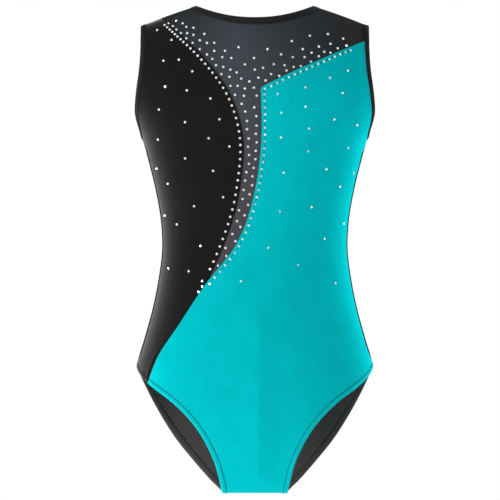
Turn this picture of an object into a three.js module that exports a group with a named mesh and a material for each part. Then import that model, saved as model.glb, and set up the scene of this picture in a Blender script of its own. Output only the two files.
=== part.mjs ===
// Sleeveless gymnastics leotard for a child of about ten, as it stands filled out by a body.
// Millimetres, +Z up, front towards -Y, +X to the wearer's left. Heights in this file run up
// from the crotch; the finished group is lowered so that its origin lies between the tops of
// the shoulders, which is where the garment hangs from.
//
// Every piece lies on one closed torso surface. Its chart has two coordinates: an angle that
// runs round the body (0 centre front, 90 wearer's left side, 180 centre back) and a climb,
// the distance walked up the front from the crotch line to the shoulder line.

import * as THREE from 'three';

// ---- driving dimensions -------------------------------------------------------------------
const SHOULDER_NECK = 540;      // height of the shoulder seam at the neck
const NECK_HALF = 64;           // half the neck opening, shoulder to shoulder
const SHOULDER_END = 127;       // half the width across the shoulders, armhole to armhole
const SHOULDER_DROP = 0.0247;   // the shoulder line falls by this times |x|^1.5
const SHOULDER_CREST = SHOULDER_NECK + SHOULDER_DROP * NECK_HALF ** 1.5;
const NECK_FRONT = 527.3;       // centre front of the neckline
const NECK_BACK = 522;          // centre back of the neckline
const NECK_CURVE = 2.1;         // how late the neckline turns up to the shoulder
const UNDERARM = 397;           // lowest point of the armholes
const HIP = 139.5;              // highest point of the leg openings, on the side seams
const SEAT_ROUND = 125;         // the body rounds off to the crotch below this height
const CHEST_ROUND = 430;        // and rounds off to the shoulders above this one
const SEAT_WALK = 163;          // distance walked up that rounding at the bottom
const CHEST_WALK = 160;         // and at the top
const SIDE_FULLNESS = 0.88;     // 1 is an elliptical section, less is a fuller one

const FABRIC = 0.8;             // knit thickness, a little over the real 0.5
const GAP = 0.3;                // clearance between pieces that are sewn together
const NECK_BINDING = 8;
const ARM_BINDING = 6;
const LEG_ELASTIC = 6;
const HEM_STITCH = 5.6;         // hem stitching from the edge of the leg opening
const TOPSTITCH = 3.7;          // topstitching from the folded edge of the coloured panel
const EDGE_TUCK = 3;            // how far a bound panel stops short of the binding's fold
const ALLOWANCE = 6;            // width of an overlocked seam allowance
const THREAD = 0.9;             // width of a line of stitching
const SEAM_CLEAR = 3;           // seams stop this far from a binding or an elastic
const STONE = 3.0;              // rhinestone diameter
const STONE_HEIGHT = 0.85;
const STONE_TABLE = 0.58;       // width of the flat top, as a share of the diameter
const STONE_FACETS = 8;

// Knots are [height, value].
const HALF_WIDTH = [[0, 131], [110, 131], [142, 130.4], [170, 122.6], [203, 113.5], [236, 106.8],
  [270, 102.6], [303, 104.1], [336, 109.8], [370, 118.1], [392, 124.3], [403, 129.3],
  [414, 135], [425, 140.5], [447, 148], [475, 151], [560, 151]];
const FRONT_DEPTH = [[0, 78], [100, 80], [160, 81], [220, 75], [281, 68], [350, 74], [430, 80],
  [560, 76]];
const BACK_DEPTH = [[0, 86], [110, 93], [160, 90], [220, 71], [281, 58], [350, 67], [430, 79],
  [560, 72]];
const FRONT_LEG = [[0, 36.3], [12, 38.8], [30, 43.3], [47, 50.2], [65, 59.9], [83, 73.4],
  [101, 91.8], [118, 114.2], [127, 123.8], [134, 128.9], [HIP, 130.6]];
const BACK_LEG = [[0, 36.3], [3, 38.3], [14, 49.9], [36, 69.4], [58, 87.2], [81, 102.2],
  [103, 114.4], [125, 124.9], [136, 129.4], [HIP, 130.6]];
const ARMHOLE = [[UNDERARM, 126.4], [403, 127.9], [414, 131.3], [425, 133], [447, 131.3],
  [470, 128.3], [495, 126.9], [560, SHOULDER_END]];
const BLACK_EDGE = [[237, -51.2], [258, -41.2], [281, -31.8], [303, -24.3], [325, -18.6],
  [358, -13.8], [381, -12.2], [403, -14.2], [425, -20], [447, -29.8], [469, -45],
  [492, -65.5], [527, -104]];
const TEAL_CORNER = [6.6, 449.5];
const TEAL_EDGE = [[122, -119], [153, -106.4], [186, -84.5], [220, -62.6], [237, -50.6],
  [253, -37], [270, -24.1], [286, -15.5], [303, -8.5], [336, 0.2], [369, 5.4], [403, 7.5],
  [449.5, 6.6]];
const TEAL_TOP = [[449.5, 6.6], [467.2, 42.8], [487.3, 88], [501, 121.5], [506, 134]];

// Heights where the seams and the topstitching of the front start and stop, clear of each
// other, of the leg elastic and of the bindings.
const BLACK_MESH_SEAM = [254, 520];
const BLACK_TEAL_SEAM = [136, 233];
const TEAL_MESH_SEAM = [258, 497.5];
const TOPSTITCHING = [140, 494];

// How many sections each strip is given.
const STEPS = { neck: 44, armhole: 40, leg: 52, upright: 14, shoulder: 4, crotch: 5,
  blackToMesh: 26, blackToTeal: 9, tealToMesh: 34, topstitch: 52 };

// ---- the torso surface --------------------------------------------------------------------
const CREST_WALK = SEAT_WALK + (CHEST_ROUND - SEAT_ROUND) + CHEST_WALK;
const DEG = Math.PI / 180;

// A smooth curve through knots, as a function of the first value of each.
function smooth(knots, at) {
  const last = knots.length - 1;
  if (at <= knots[0][0]) return knots[0][1];
  if (at >= knots[last][0]) return knots[last][1];
  let i = 0;
  while (knots[i + 1][0] < at) i += 1;
  const slope = (j) => {
    const a = knots[Math.max(j - 1, 0)];
    const b = knots[Math.min(j + 1, last)];
    return (b[1] - a[1]) / (b[0] - a[0]);
  };
  const [[x0, y0], [x1, y1]] = [knots[i], knots[i + 1]];
  const h = x1 - x0;
  const t = (at - x0) / h;
  const rise = t * t * (3 - 2 * t);
  return y0 + (y1 - y0) * rise
    + h * t * (1 - t) * ((1 - t) * slope(i) - t * slope(i + 1));
}

const shoulderLine = (x) => SHOULDER_CREST - SHOULDER_DROP * Math.abs(x) ** 1.5;

// Height of the neckline at x, with the opening grown by an inset.
function neckline(x, centre, inset) {
  const half = NECK_HALF + inset;
  const low = centre - inset;
  return low + (shoulderLine(half) - low) * (Math.abs(x) / half) ** NECK_CURVE;
}

// Chart to space. Climbs below 0 or past the crest carry on over to the other face.
function surface(angle, climb) {
  if (climb < 0) return surface(180 - angle, -climb);
  if (climb > CREST_WALK) return surface(180 - angle, 2 * CREST_WALK - climb);
  const sine = Math.sin(angle * DEG);
  const cosine = Math.cos(angle * DEG);
  let x = 0;
  let z = 0;
  let round = 1;
  if (climb < SEAT_WALK) {
    const turn = (climb / SEAT_WALK) * Math.PI / 2;
    z = SEAT_ROUND * (1 - Math.cos(turn));
    round = Math.sin(turn);
    x = smooth(HALF_WIDTH, z) * sine;
  } else if (climb < CREST_WALK - CHEST_WALK) {
    z = SEAT_ROUND + climb - SEAT_WALK;
    x = smooth(HALF_WIDTH, z) * sine;
  } else {
    const turn = (climb - CREST_WALK + CHEST_WALK) / CHEST_WALK * Math.PI / 2;
    round = Math.cos(turn);
    z = CHEST_ROUND;
    for (let pass = 0; pass < 8; pass += 1) {
      x = smooth(HALF_WIDTH, z) * sine;
      z = CHEST_ROUND + (shoulderLine(x) - CHEST_ROUND) * Math.sin(turn);
    }
  }
  const depth = smooth(cosine > 0 ? FRONT_DEPTH : BACK_DEPTH, z);
  const reach = depth * round * Math.abs(cosine) ** SIDE_FULLNESS;
  return new THREE.Vector3(x, -Math.sign(cosine) * reach, z);
}

// Front-view place (x across, z up) to chart, on the front or the back face.
function chart(x, z, back = false) {
  const angle = Math.asin(THREE.MathUtils.clamp(x / smooth(HALF_WIDTH, z), -1, 1)) / DEG;
  let climb = 0;
  if (z < SEAT_ROUND) {
    climb = SEAT_WALK * Math.acos(1 - Math.max(z, 0) / SEAT_ROUND) / (Math.PI / 2);
  } else if (z < CHEST_ROUND) {
    climb = SEAT_WALK + z - SEAT_ROUND;
  } else {
    const part = Math.min((z - CHEST_ROUND) / (shoulderLine(x) - CHEST_ROUND), 1);
    climb = CREST_WALK - CHEST_WALK + CHEST_WALK * Math.asin(part) / (Math.PI / 2);
  }
  return [back ? 180 - angle : angle, climb];
}

function tangents(angle, climb) {
  const step = 0.25;
  const round = surface(angle + step, climb).sub(surface(angle - step, climb));
  const up = surface(angle, climb + step).sub(surface(angle, climb - step));
  return [round.divideScalar(2 * step), up.divideScalar(2 * step)];
}

function outward(angle, climb) {
  const [round, up] = tangents(angle, climb);
  return round.cross(up).normalize();
}

// The point of the surface pushed out (or, when negative, in) along its normal.
function raised([angle, climb], height) {
  return surface(angle, climb).addScaledVector(outward(angle, climb), height);
}

// Walk over the surface from a chart place, in a direction of space, for a distance.
function walk([angle, climb], direction, distance) {
  const steps = 4;
  let place = [angle, climb];
  for (let i = 0; i < steps; i += 1) {
    const [round, up] = tangents(...place);
    const rr = round.dot(round);
    const uu = up.dot(up);
    const ru = round.dot(up);
    const r = direction.dot(round);
    const u = direction.dot(up);
    const det = rr * uu - ru * ru;
    const length = distance / steps;
    place = [place[0] + length * (r * uu - u * ru) / det,
      place[1] + length * (u * rr - r * ru) / det];
  }
  return place;
}

// ---- solids -------------------------------------------------------------------------------
function closedMesh(points, triangles) {
  const geometry = new THREE.BufferGeometry();
  const flat = new Float32Array(points.flatMap((p) => [p.x, p.y, p.z]));
  geometry.setAttribute('position', new THREE.BufferAttribute(flat, 3));
  geometry.setIndex(triangles);
  geometry.computeVertexNormals();
  return geometry;
}

// A solid made of like sections, one after another along a path; each is a ring of points.
function sweep(sections, closed) {
  const ring = sections[0].length;
  const points = sections.flat();
  const triangles = [];
  const spans = closed ? sections.length : sections.length - 1;
  for (let i = 0; i < spans; i += 1) {
    const here = i * ring;
    const next = ((i + 1) % sections.length) * ring;
    for (let j = 0; j < ring; j += 1) {
      const k = (j + 1) % ring;
      triangles.push(here + j, next + j, next + k, here + j, next + k, here + k);
    }
  }
  if (!closed) {
    const end = points.length - ring;
    for (let j = 1; j < ring - 1; j += 1) {
      triangles.push(0, j, j + 1, end, end + j + 1, end + j);
    }
  }
  return faceOut(points, triangles);
}

// Signed volume decides which way the triangles run.
function faceOut(points, triangles) {
  let volume = 0;
  for (let i = 0; i < triangles.length; i += 3) {
    const [a, b, c] = [0, 1, 2].map((k) => points[triangles[i + k]]);
    volume += a.dot(new THREE.Vector3().crossVectors(b, c));
  }
  if (volume < 0) triangles.reverse();
  return closedMesh(points, triangles);
}

// Cloth cut to a grid of chart places, from one height off the surface down to another.
function cloth(rows, top, bottom) {
  const across = rows[0].length;
  const outer = rows.flatMap((row) => row.map((place) => raised(place, top)));
  const inner = rows.flatMap((row) => row.map((place) => raised(place, bottom)));
  const points = [...outer, ...inner];
  const triangles = [];
  const quad = (a, b, c, d) => triangles.push(a, b, c, a, c, d);
  for (let i = 0; i < rows.length - 1; i += 1) {
    for (let j = 0; j < across - 1; j += 1) {
      const a = i * across + j;
      quad(a, a + 1, a + across + 1, a + across);
      const b = a + outer.length;
      quad(b, b + across, b + across + 1, b + 1);
    }
  }
  const border = [];
  for (let j = 0; j < across - 1; j += 1) border.push(j);
  for (let i = 0; i < rows.length - 1; i += 1) border.push(i * across + across - 1);
  for (let j = across - 1; j > 0; j -= 1) border.push((rows.length - 1) * across + j);
  for (let i = rows.length - 1; i > 0; i -= 1) border.push(i * across);
  border.forEach((a, i) => {
    const b = border[(i + 1) % border.length];
    quad(a, a + outer.length, b + outer.length, b);
  });
  return faceOut(points, triangles);
}

// A strip that follows a path of chart places. The section is a ring of [sideways, height],
// sideways being walked over the surface, to the left of the path seen from outside.
function strip(path, section, closed = false) {
  const at = path.map((place) => surface(...place));
  const sections = path.map((place, i) => {
    const before = closed ? at[(i + at.length - 1) % at.length] : at[Math.max(i - 1, 0)];
    const after = closed ? at[(i + 1) % at.length] : at[Math.min(i + 1, at.length - 1)];
    const along = new THREE.Vector3().subVectors(after, before).normalize();
    const left = outward(...place).cross(along).normalize();
    return section.map(([side, height]) => raised(walk(place, left, side), height));
  });
  return sweep(sections, closed);
}

const bar = (from, to, low, high) => [[from, low], [to, low], [to, high], [from, high]];

// Pick evenly spaced places from a finely sampled path.
function even(path, count, closed = false) {
  const at = path.map((place) => surface(...place));
  const run = [0];
  const total = closed ? path.length : path.length - 1;
  for (let i = 0; i < total; i += 1) {
    run.push(run[i] + at[i].distanceTo(at[(i + 1) % path.length]));
  }
  const picked = [];
  let i = 0;
  for (let k = 0; k < count; k += 1) {
    const goal = run[total] * k / (closed ? count : count - 1);
    while (i < total && run[i] < goal - 1e-6) i += 1;
    picked.push(path[Math.min(i, path.length - 1)]);
  }
  return picked;
}

// ---- panel edges and rows -----------------------------------------------------------------
const SEAM_ANGLE = 90 - 0.15;
const sideSeam = (z) => smooth(HALF_WIDTH, z) * Math.sin(SEAM_ANGLE * DEG);

// Wearer's-left edge of the front and back, up the leg, the side seam and the armhole.
function sideEdge(z, leg) {
  if (z < HIP) return Math.min(smooth(leg, z), sideSeam(z));
  if (z < UNDERARM - EDGE_TUCK) return sideSeam(z);
  const above = z + EDGE_TUCK;
  const tuck = 1.2 * Math.min((above - UNDERARM) / 20, 1);
  const angle = Math.asin(Math.min(smooth(ARMHOLE, above) / smooth(HALF_WIDTH, above), 1)) / DEG;
  return Math.min(smooth(HALF_WIDTH, z) * Math.sin((angle - tuck) * DEG), sideSeam(z));
}

const TOP_KEEP = 0.6;            // panels stop this short of the shoulder line
const ROW_BLEND = chart(...TEAL_CORNER)[1];

// The climb where the panels end at an angle: the shoulder line, or the tucked neckline.
function topClimb(angle) {
  const x = smooth(HALF_WIDTH, SHOULDER_NECK) * Math.sin(angle * DEG);
  const back = Math.cos(angle * DEG) < 0;
  if (Math.abs(x) >= NECK_HALF + EDGE_TUCK) return CREST_WALK - TOP_KEEP;
  const z = neckline(x, back ? NECK_BACK : NECK_FRONT, EDGE_TUCK);
  return Math.min(chart(x, z)[1], CREST_WALK - TOP_KEEP);
}

// A row is a climb that is stretched above the chest so that the last one is the top edge.
function rowToClimb(angle, row) {
  if (row <= ROW_BLEND) return row;
  const part = (row - ROW_BLEND) / (CREST_WALK - ROW_BLEND);
  return ROW_BLEND + part * (topClimb(angle) - ROW_BLEND);
}

// Where an edge, given as x for a height, crosses a row: its angle.
function edgeAngle(edge, row, back) {
  let low = -1;
  let high = SHOULDER_CREST;
  for (let pass = 0; pass < 40; pass += 1) {
    const z = (low + high) / 2;
    const [angle, climb] = chart(edge(z), z, back);
    if (climb < rowToClimb(angle, row)) low = z; else high = z;
  }
  return chart(edge(low), low, back)[0];
}

const rowAt = (z) => chart(0, z)[1];
const CROTCH_KEEP = 0.5;         // and this short of the crotch seam
const ROWS = [
  CROTCH_KEEP,
  ...[5, 17, 34, 54, 77, 101, 114, 125, 133, HIP, 153, 172, 195, 218, 237, 256, 276, 300, 325,
    350, 372, 387, 394, 396.5, 400, 405, 412, 421].map(rowAt),
  rowAt(CHEST_ROUND), ROW_BLEND,
  ...[0.06, 0.13, 0.21, 0.31, 0.42, 0.534, 0.65, 0.76, 0.86, 0.94, 1].map(
    (part) => ROW_BLEND + part * (CREST_WALK - ROW_BLEND)),
];

// A panel between two edges, with cuts (0 to 1) across it at every row.
function panel(fromRow, toRow, leftEdge, rightEdge, cuts, back = false) {
  const rows = ROWS.filter((row) => row >= fromRow - 1e-6 && row <= toRow + 1e-6);
  return rows.map((row) => {
    const left = edgeAngle(leftEdge, row, back);
    const right = edgeAngle(rightEdge, row, back);
    return cuts.map((cut) => {
      const angle = left + (right - left) * cut;
      return [angle, rowToClimb(angle, row)];
    });
  });
}

const evenCuts = (count) => Array.from({ length: count + 1 }, (_, i) => i / count);

// ---- the garment --------------------------------------------------------------------------
const BLACK_CLOTH = { color: '#222223', roughness: 0.62, metalness: 0 };
const TEAL_CLOTH = { color: '#04aeb5', roughness: 0.45, metalness: 0 };
const MESH_CLOTH = { color: '#3c4048', roughness: 0.75, metalness: 0 };
const BINDING_CLOTH = { color: '#1c1c1d', roughness: 0.55, metalness: 0 };
const ELASTIC = { color: '#d9d7d0', roughness: 0.7, metalness: 0 };
const BLACK_THREAD = { color: '#141415', roughness: 0.6, metalness: 0 };
const TEAL_THREAD = { color: '#0b7f86', roughness: 0.6, metalness: 0 };
const LINING = { color: '#e6e3da', roughness: 0.85, metalness: 0 };
const CRYSTAL = { color: '#e8eef2', roughness: 0.08, metalness: 0.1 };

const leotard = new THREE.Group();

function add(name, geometry, finish) {
  const piece = new THREE.Mesh(geometry, new THREE.MeshStandardMaterial(finish));
  piece.name = name;
  leotard.add(piece);
}

const SIDES = [['left', 1], ['right', -1]];
const mirrored = (path, sign) => path.map(([angle, climb]) => [sign * angle, climb]);

// Panels. The coloured front panel runs from the wearer's left side across the crotch to the
// right leg; the black one fills the wearer's right side; mesh fills what is left up to the
// neck and both shoulders.
const tealLeft = (z) => {
  const [cornerX, cornerZ] = TEAL_CORNER;
  if (z > cornerZ) return smooth(TEAL_TOP, z) + 2 * GAP;
  return Math.max(smooth(TEAL_EDGE, z) + GAP, -smooth(FRONT_LEG, z));
};
const frontSide = (z) => sideEdge(z, FRONT_LEG);
const blackLeft = (z) => -frontSide(z);
const blackRight = (z) => (z < BLACK_EDGE[0][0]
  ? smooth(TEAL_EDGE, z) - GAP : Math.min(smooth(BLACK_EDGE, z), smooth(TEAL_EDGE, z)) - GAP);
const meshLeft = (z) => smooth(BLACK_EDGE, z) + GAP;
const meshRight = (z) => (z < TEAL_CORNER[1]
  ? smooth(TEAL_EDGE, z) - GAP : Math.min(smooth(TEAL_TOP, z) - 2 * GAP, frontSide(z)));

const tealTop = ROWS[ROWS.length - 6];
add('front_teal_panel',
  cloth(panel(CROTCH_KEEP, tealTop, tealLeft, frontSide, evenCuts(14)), 0, -FABRIC), TEAL_CLOTH);
const sideCuts = [0, 0.08, 0.18, 0.3, 0.44, 0.6, 0.8, 1];
add('front_black_side_panel',
  cloth(panel(rowAt(133), CREST_WALK, blackLeft, blackRight, sideCuts), 0, -FABRIC),
  BLACK_CLOTH);
const yokeCuts = [0, 0.09, 0.166, 0.176, 0.2, 0.26, 0.35, 0.44, 0.53, 0.61, 0.66, 0.684, 0.696,
  0.79, 0.89, 1];
add('front_mesh_insert',
  cloth(panel(rowAt(256), CREST_WALK, meshLeft, meshRight, yokeCuts), 0, -FABRIC), MESH_CLOTH);

const backEdge = (z) => sideEdge(z, BACK_LEG);
const halfBack = [0, 0.07, 0.14, 0.21, 0.266, 0.277, 0.3, 0.36, 0.43];
const backCuts = [...halfBack, 0.5, ...halfBack.map((cut) => 1 - cut).reverse()];
add('back_panel',
  cloth(panel(CROTCH_KEEP, CREST_WALK, backEdge, (z) => -backEdge(z), backCuts, true),
    0, -FABRIC), BLACK_CLOTH);

// Gusset lining: a soft tongue inside the crotch, over the seam and clear of the elastics.
const GUSSET_HALF = 26;
const GUSSET_FRONT = 85;
const GUSSET_BACK = 75;
const gusset = [];
for (let i = 0; i <= 12; i += 1) {
  const climb = GUSSET_FRONT - (GUSSET_FRONT + GUSSET_BACK) * i / 12;
  const half = GUSSET_HALF * (1 + 0.1 * (climb / GUSSET_FRONT) ** 2);
  gusset.push(evenCuts(6).map((cut) => {
    const x = half * (2 * cut - 1);
    return [Math.asin(x / HALF_WIDTH[0][1]) / DEG, climb];
  }));
}
const LINING_DEPTH = [-4.5, -5.1];
add('gusset_lining', cloth(gusset, ...LINING_DEPTH), LINING);

// Bindings are folded over the raw edge: an outer leaf, a fold and an inner leaf.
const OUTER_LEAF = [GAP, GAP + FABRIC];
const INNER_LEAF = [-3.5, -2.7];
function folded(width) {
  const fold = Math.sign(width) * FABRIC;
  return [[0, OUTER_LEAF[1]], [width, OUTER_LEAF[1]], [width, OUTER_LEAF[0]],
    [fold, OUTER_LEAF[0]], [fold, INNER_LEAF[1]], [width, INNER_LEAF[1]],
    [width, INNER_LEAF[0]], [0, INNER_LEAF[0]]];
}

// The neck opening, round the front from the wearer's right to left and back again.
const FINE = 240;
const neckPath = [];
for (let i = 0; i < FINE; i += 1) {
  const turn = i / FINE * 2 * Math.PI;
  const x = -NECK_HALF * Math.cos(turn);
  const back = turn > Math.PI;
  neckPath.push(chart(x, neckline(x, back ? NECK_BACK : NECK_FRONT, 0), back));
}
const neck = even(neckPath, STEPS.neck, true);
add('neck_binding', strip(neck, folded(-NECK_BINDING), true), BINDING_CLOTH);
add('neck_topstitch', strip(neck, bar(-NECK_BINDING + 1.5, -NECK_BINDING + 1.5 + THREAD,
  OUTER_LEAF[1] + GAP, OUTER_LEAF[1] + 2 * GAP), true), BLACK_THREAD);

// An armhole, from the shoulder down the front, under the arm and up the back.
function armholePath() {
  const front = [];
  const drop = SHOULDER_NECK - UNDERARM;
  for (let i = 0; i < FINE; i += 1) {
    const fall = (1 - Math.cos(i / FINE * Math.PI)) / 2;
    const z = Math.min(SHOULDER_NECK - drop * fall, shoulderLine(SHOULDER_END));
    front.push(chart(Math.min(smooth(ARMHOLE, z), smooth(HALF_WIDTH, z)), z));
  }
  const back = front.map(([angle, climb]) => [180 - angle, climb]).reverse();
  return [...front, chart(smooth(HALF_WIDTH, UNDERARM), UNDERARM), ...back];
}

const ELASTIC_DEPTH = [-4.1, -3.3];

// A leg opening, from the hip down the front, through the crotch and up the back.
function legPath() {
  const front = [];
  const back = [];
  for (let i = 0; i <= FINE; i += 1) {
    const z = HIP * (1 + Math.cos(i / FINE * Math.PI)) / 2;
    front.push(chart(Math.min(smooth(FRONT_LEG, z), smooth(HALF_WIDTH, z)), z));
    back.push(chart(Math.min(smooth(BACK_LEG, z), smooth(HALF_WIDTH, z)), z, true));
  }
  return [...front, ...back.reverse().slice(1, -1)];
}

for (const [side, sign] of SIDES) {
  const arm = mirrored(even(armholePath(), STEPS.armhole, true), sign);
  add(`armhole_binding_${side}`, strip(arm, folded(sign * -ARM_BINDING), true), BINDING_CLOTH);
  const inset = sign * (-ARM_BINDING + 1.2);
  add(`armhole_topstitch_${side}`, strip(arm, bar(inset, inset + sign * THREAD,
    OUTER_LEAF[1] + GAP, OUTER_LEAF[1] + 2 * GAP), true), BLACK_THREAD);

  const leg = mirrored(even(legPath(), STEPS.leg, true), sign);
  const inner = (distance) => sign * -distance;
  add(`leg_elastic_${side}`, strip(leg, bar(inner(EDGE_TUCK), inner(EDGE_TUCK + LEG_ELASTIC),
    ...ELASTIC_DEPTH), true), ELASTIC);
  add(`leg_hem_stitch_${side}`, strip(leg, bar(inner(HEM_STITCH), inner(HEM_STITCH + THREAD),
    GAP, 2 * GAP), true), TEAL_THREAD);
}

// Overlocked seam allowances, inside the cloth.
const SEAM_DEPTH = [-3.6, -2.8];
const seam = (path) => strip(path, bar(-ALLOWANCE / 2, ALLOWANCE / 2, ...SEAM_DEPTH));

function edgePath(edge, from, to) {
  const path = [];
  for (let i = 0; i <= FINE; i += 1) {
    const z = from + (to - from) * i / FINE;
    path.push(chart(edge(z), z));
  }
  return path;
}

for (const [side, sign] of SIDES) {
  const bottom = HIP + LEG_ELASTIC + SEAM_CLEAR;
  const top = UNDERARM - ARM_BINDING - SEAM_CLEAR;
  const upright = evenCuts(STEPS.upright).map(
    (cut) => [sign * 90, rowAt(bottom + (top - bottom) * cut)]);
  add(`side_seam_${side}`, seam(upright), BLACK_THREAD);

  const inner = NECK_HALF + NECK_BINDING + SEAM_CLEAR;
  const outer = SHOULDER_END - ARM_BINDING - SEAM_CLEAR;
  const crest = evenCuts(STEPS.shoulder).map((cut) => {
    const x = sign * (inner + (outer - inner) * cut);
    return [Math.asin(x / smooth(HALF_WIDTH, SHOULDER_NECK)) / DEG, CREST_WALK];
  });
  add(`shoulder_seam_${side}`, seam(crest), BLACK_THREAD);
}

const crotch = evenCuts(STEPS.crotch).map((cut) => {
  const half = FRONT_LEG[0][1] - LEG_ELASTIC - SEAM_CLEAR;
  return [Math.asin(half * (2 * cut - 1) / HALF_WIDTH[0][1]) / DEG, 0];
});
add('crotch_seam', seam(crotch), BLACK_THREAD);

const mesh = (z) => smooth(BLACK_EDGE, z);
const folds = (z) => smooth(TEAL_EDGE, z);
const diagonal = (z) => smooth(TEAL_TOP, z);
const corner = TEAL_CORNER[1];
add('black_to_mesh_seam',
  seam(even(edgePath(mesh, ...BLACK_MESH_SEAM), STEPS.blackToMesh)), BLACK_THREAD);
add('black_to_teal_seam',
  seam(even(edgePath(folds, ...BLACK_TEAL_SEAM), STEPS.blackToTeal)), BLACK_THREAD);
const tealSeam = [...edgePath(folds, TEAL_MESH_SEAM[0], corner),
  ...edgePath(diagonal, corner + GAP, TEAL_MESH_SEAM[1])];
add('teal_to_mesh_seam', seam(even(tealSeam, STEPS.tealToMesh)), BLACK_THREAD);
const tealStitch = [...edgePath(folds, TOPSTITCHING[0], corner - TOPSTITCH),
  ...edgePath(diagonal, corner + TOPSTITCH, TOPSTITCHING[1])];
add('teal_edge_topstitch', strip(even(tealStitch, STEPS.topstitch), bar(
  -TOPSTITCH - THREAD / 2, -TOPSTITCH + THREAD / 2, GAP, 2 * GAP)), TEAL_THREAD);

// Rhinestones scattered over the black panel, wearer's right, each [across, height].
const STONES = [[-108, 513], [-92, 502], [-101, 479], [-84, 480], [-69, 467], [-99, 450],
  [-75, 446], [-49, 437], [-106, 425], [-77, 411], [-39, 414], [-107, 392], [-51, 393],
  [-28, 384], [-77, 371], [-46, 357], [-108, 360], [-96, 343], [-35, 328], [-67, 318],
  [-99, 308], [-86, 298], [-60, 274], [-95, 249], [-73, 246]];

// A flat-backed stone: a ring of sloping facets and a flat table.
function stone(x, z) {
  const place = chart(x, z);
  const foot = raised(place, GAP);
  const out = outward(...place);
  const across = tangents(...place)[0].normalize();
  const up = new THREE.Vector3().crossVectors(out, across);
  const ring = (radius, height) => evenCuts(STONE_FACETS).slice(1).map((part) => {
    const turn = part * 2 * Math.PI;
    return foot.clone().addScaledVector(out, height)
      .addScaledVector(across, radius * Math.cos(turn))
      .addScaledVector(up, radius * Math.sin(turn));
  });
  return sweep([ring(STONE / 2, 0), ring(STONE / 2 * STONE_TABLE, STONE_HEIGHT)], false);
}
STONES.forEach(([x, z], i) => {
  add(`rhinestone_${String(i + 1).padStart(2, '0')}`, stone(x, z), CRYSTAL);
});

leotard.position.z = -SHOULDER_NECK;
export default leotard;
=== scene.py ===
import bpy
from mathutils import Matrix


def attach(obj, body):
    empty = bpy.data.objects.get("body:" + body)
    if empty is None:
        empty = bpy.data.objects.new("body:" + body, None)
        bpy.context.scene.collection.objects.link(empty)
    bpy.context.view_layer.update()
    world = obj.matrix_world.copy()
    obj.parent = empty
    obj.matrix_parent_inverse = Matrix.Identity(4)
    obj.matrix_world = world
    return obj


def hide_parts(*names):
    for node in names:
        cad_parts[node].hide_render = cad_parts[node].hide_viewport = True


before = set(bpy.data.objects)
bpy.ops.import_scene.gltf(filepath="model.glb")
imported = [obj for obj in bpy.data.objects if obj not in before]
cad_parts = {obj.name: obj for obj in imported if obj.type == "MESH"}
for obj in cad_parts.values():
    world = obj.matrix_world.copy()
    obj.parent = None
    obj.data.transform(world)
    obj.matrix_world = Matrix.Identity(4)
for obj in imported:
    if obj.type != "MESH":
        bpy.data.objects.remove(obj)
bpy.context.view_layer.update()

import math

import bpy
import numpy as np
from mathutils import Vector

bpy.ops.object.select_all(action="DESELECT")

# ==== Teal front panel =======================================================================
# The largest cloth piece: nylon and elastane knit, cut to run from the wearer's left shoulder
# and side over the whole belly to the right hip. Its top and left edges are turned under and
# topstitched over the mesh. A body fills it, so it is stretched smooth and has no drape.

# The body's form, as the garment holds it. Millimetres, heights up from the crotch. Each list
# holds [height, value] knots of a smooth curve.
SHOULDER = 540.0                 # height of the shoulder seam at the neck
NECK_HALF = 64.0                 # half the neck opening
NECK_FRONT, NECK_BACK = 527.3, 522.0
SHOULDER_END = 127.0             # half the width across the shoulders
SHOULDER_DROP = 0.0247
SHOULDER_CREST = SHOULDER + SHOULDER_DROP * NECK_HALF ** 1.5
UNDERARM = 397.0
HIP = 139.5                      # top of the leg openings
SEAT_ROUND, SEAT_WALK = 125.0, 163.0
CHEST_ROUND, CHEST_WALK = 430.0, 160.0
CREST = SEAT_WALK + (CHEST_ROUND - SEAT_ROUND) + CHEST_WALK
SIDE_FULLNESS = 0.88
HALF_WIDTH = [[0, 131], [110, 131], [142, 130.4], [170, 122.6], [203, 113.5], [236, 106.8],
              [270, 102.6], [303, 104.1], [336, 109.8], [370, 118.1], [392, 124.3],
              [403, 129.3], [414, 135], [425, 140.5], [447, 148], [475, 151], [560, 151]]
FRONT_DEPTH = [[0, 78], [100, 80], [160, 81], [220, 75], [281, 68], [350, 74], [430, 80],
               [560, 76]]
BACK_DEPTH = [[0, 86], [110, 93], [160, 90], [220, 71], [281, 58], [350, 67], [430, 79],
              [560, 72]]
FRONT_LEG = [[0, 36.3], [12, 38.8], [30, 43.3], [47, 50.2], [65, 59.9], [83, 73.4],
             [101, 91.8], [118, 114.2], [127, 123.8], [134, 128.9], [HIP, 131.0]]
BACK_LEG = [[0, 36.3], [3, 38.3], [14, 49.9], [36, 69.4], [58, 87.2], [81, 102.2],
            [103, 114.4], [125, 124.9], [136, 129.4], [HIP, 131.0]]
ARMHOLE = [[UNDERARM, 126.4], [403, 127.9], [414, 131.3], [425, 133], [447, 131.3],
           [470, 128.3], [495, 126.9], [560, SHOULDER_END]]

# Edges of the front pieces, as a distance across for a height.
TEAL_CORNER = (6.6, 449.5)
TEAL_EDGE = [[122, -119], [153, -106.4], [186, -84.5], [220, -62.6], [237, -50.6], [253, -37],
             [270, -24.1], [286, -15.5], [303, -8.5], [336, 0.2], [369, 5.4], [403, 7.5],
             [449.5, 6.6]]
TEAL_TOP = [[449.5, 6.6], [467.2, 42.8], [487.3, 88], [501, 121.5], [506, 134]]

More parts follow.
